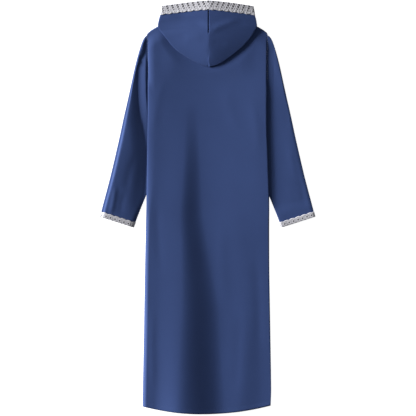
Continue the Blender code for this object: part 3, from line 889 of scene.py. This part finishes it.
def cuffLace(s, e, reach):
    spot = smooth((2.5 - np.hypot(repeatAway(s, laceMotifs["cuffPitch"]), e - 8.2)) / 1.3 + 0.5)
    dash = np.hypot(repeatAway(s, laceMotifs["cuffPitch"], laceMotifs["cuffPitch"] / 2) / 2.6, e - 1.6)
    spot = np.maximum(spot, 0.75 * smooth(1.5 - dash + 0.5))
    ring = np.hypot(repeatAway(s, laceMotifs["cuffPitch"]), e - 8.2)
    raised = np.exp(-(((ring - 4.6) / 0.9) ** 2))
    raised = np.maximum(raised, np.exp(-(((e - reach + 2.4) / 1.3) ** 2)))
    raised = np.maximum(raised, 0.8 * np.exp(-(((e - reach + 6.2) / 0.8) ** 2)))
    return spot, raised


def laceStrip(name, cadNode, base, lace, motif, out, closed=False, mirror=False):
    # base holds rows of cloth points going in from the edge, spaced evenly along it
    if closed:
        ring = np.concatenate([base[:, -1:], base, base[:, :1]], axis=1)
        normals = gridNormals(ring)[:, 1:-1] * out
        edge = np.linalg.norm(np.diff(np.concatenate([base[0], base[0][:1]]), axis=0), axis=1)
    else:
        normals = gridNormals(base) * out
        edge = np.linalg.norm(np.diff(base[0], axis=0), axis=1)
    ends = np.concatenate([[0], np.cumsum(edge)])
    total = ends[-1]
    s = ends[: base.shape[1]]
    lobes = round(total / lace["scallop"])
    reach = lace["width"] - lace["depth"] * (1 - np.abs(np.sin(math.pi * lobes * s / total)) ** 0.7)
    fromSeam = total - s if mirror else s
    count = max(8, round(lace["width"] / laceMotifs["across"]))
    shares = np.linspace(0, 1, count)
    grid = np.zeros((count, len(s), 3))
    spot, raised = np.zeros((count, len(s))), np.zeros((count, len(s)))
    for j in range(len(s)):
        steps = np.linalg.norm(np.diff(base[:, j], axis=0), axis=1)
        lengths = np.concatenate([[0], np.cumsum(steps)])
        e = reach[j] * shares
        here = np.column_stack([np.interp(e, lengths, base[:, j, c]) for c in range(3)])
        outward = np.column_stack([np.interp(e, lengths, normals[:, j, c]) for c in range(3)])
        outward /= np.linalg.norm(outward, axis=1, keepdims=True)
        spot[:, j], raised[:, j] = motif(fromSeam[j], e, reach[j])
        proud = laceStep + 0.55 * raised[:, j] - 0.25 * spot[:, j]
        edgeFall = smooth(np.minimum(e / 1.2, (reach[j] - e) / 1.2) + 0.35)
        grid[:, j] = here + outward * (layers["laceGap"] + (proud - layers["laceGap"]) * edgeFall)[:, None]
    grid[:, :, 2] = np.maximum(grid[:, :, 2], 0)  # flat where it rests on the floor
    places = np.zeros((count, len(s), 2))
    places[:, :, 0] = s[None, :]
    places[:, :, 1] = reach[None, :] * shares[:, None]
    marks = {"spot": spot, "raised": raised}
    piece = clothSheet(name, grid, places, netted, layers["lace"] * 0.8, closed, out > 0, marks)
    sewnLine = round(count * laceMotifs["sewnShare"])
    rowNormals = gridNormals(grid)[sewnLine] * out
    shown = grid[sewnLine, :, 2] > laceMotifs["sewnFrom"]
    sewnName = name.replace("lace", "stitches")
    sewRow(sewnName, grid[sewnLine][shown], rowNormals[shown], whiteThread)
    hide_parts(cadNode)
    return piece, total


def evenAlong(edge, values, step):  # parameter values that lie evenly along a row of points
    lengths = np.concatenate([[0], np.cumsum(np.linalg.norm(np.diff(edge, axis=0), axis=1))])
    count = int(lengths[-1] / step)
    return np.interp(np.linspace(0, lengths[-1], count), lengths, values)


def makeHoodLace(sideName, side):
    rough = np.linspace(0, 1, 400)
    even = evenAlong(hoodRow(side, 0, rough, 0), rough, laceMotifs["along"])
    base = np.array([hoodRow(side, u, even, 0) for u in np.linspace(0, 0.36, 44)])
    names = ("hood_lace_" + sideName, "hood_trim_" + sideName)
    piece, total = laceStrip(*names, base, hood["lace"], hoodLace, -side, mirror=True)


def makeCuffLace(sideName, side):
    rough = np.linspace(0, 1, 400)
    even = evenAlong(sleeveRing(side, 1, rough[:-1]), rough[:-1], laceMotifs["along"])[:-1]
    base = np.array([sleeveRing(side, t, even) for t in np.linspace(1, 0.94, 24)])
    names = ("cuff_lace_" + sideName, "cuff_trim_" + sideName)
    piece, total = laceStrip(*names, base, sleeves["cuffLace"], cuffLace, side, closed=True)


print("cloth: front and back")
makeFront()
makeBack()
makeHemStitches()
for sideName, side in (("left", -1), ("right", 1)):
    print("sleeve, hood half and lace:", sideName)
    makeSleeve(sideName, side)
    makeHood(sideName, side)
    makeHoodLace(sideName, side)
    makeCuffLace(sideName, side)
for piece in clothPieces + sewnRows:
    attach(piece, "root")

studio = {
    "floorSize": 14,
    "floorColour": (0.6, 0.6, 0.6, 1),
    "floorGlow": 0.9,
    "keyFrom": (-0.92, 0.27, 0.22),  # towards the light, from the left and a little above
    "keyStrength": 12.3,
    "keyAngle": 26,
    "sky": 0.22,
    "lens": 250,
    "sensor": 36,
    "floorDrop": 0.0004,
    "frameWidth": 1.4768,
    "centre": (0.0018, -0.0025),
}


def makeFloor():
    bpy.ops.object.select_all(action="DESELECT")
    bpy.ops.mesh.primitive_plane_add(size=studio["floorSize"], location=(0, 0, -studio["floorDrop"]))
    floor = bpy.context.active_object
    floor.name = "floor"
    look, nodes, links, shader = newLook("pale_floor")
    shader.inputs["Base Color"].default_value = studio["floorColour"]
    shader.inputs["Roughness"].default_value = 0.9
    shader.inputs["Emission Color"].default_value = (1, 1, 1, 1)
    shader.inputs["Emission Strength"].default_value = studio["floorGlow"]
    floor.data.materials.append(look)


def makeLight():
    lamp = bpy.data.lights.new("key", "SUN")
    lamp.energy = studio["keyStrength"]
    lamp.angle = math.radians(studio["keyAngle"])
    key = bpy.data.objects.new("key", lamp)
    bpy.context.scene.collection.objects.link(key)
    key.rotation_euler = Vector(studio["keyFrom"]).to_track_quat("Z", "Y").to_euler()
    world = bpy.data.worlds.new("sky")
    world.use_nodes = True
    background = world.node_tree.nodes["Background"]
    background.inputs["Color"].default_value = (1, 1, 1, 1)
    background.inputs["Strength"].default_value = studio["sky"]
    bpy.context.scene.world = world


def makeCamera():
    eye = bpy.data.cameras.new("camera")
    eye.lens = studio["lens"]
    eye.sensor_width = studio["sensor"]
    camera = bpy.data.objects.new("camera", eye)
    distance = studio["frameWidth"] / 2 / (eye.sensor_width / 2 / eye.lens)
    camera.location = (*studio["centre"], distance)
    eye.clip_end = 100
    bpy.context.scene.collection.objects.link(camera)
    bpy.context.scene.camera = camera
    bpy.context.scene.view_settings.view_transform = "Standard"


print("floor, light and camera")
makeFloor()
makeLight()
makeCamera()
print("done")
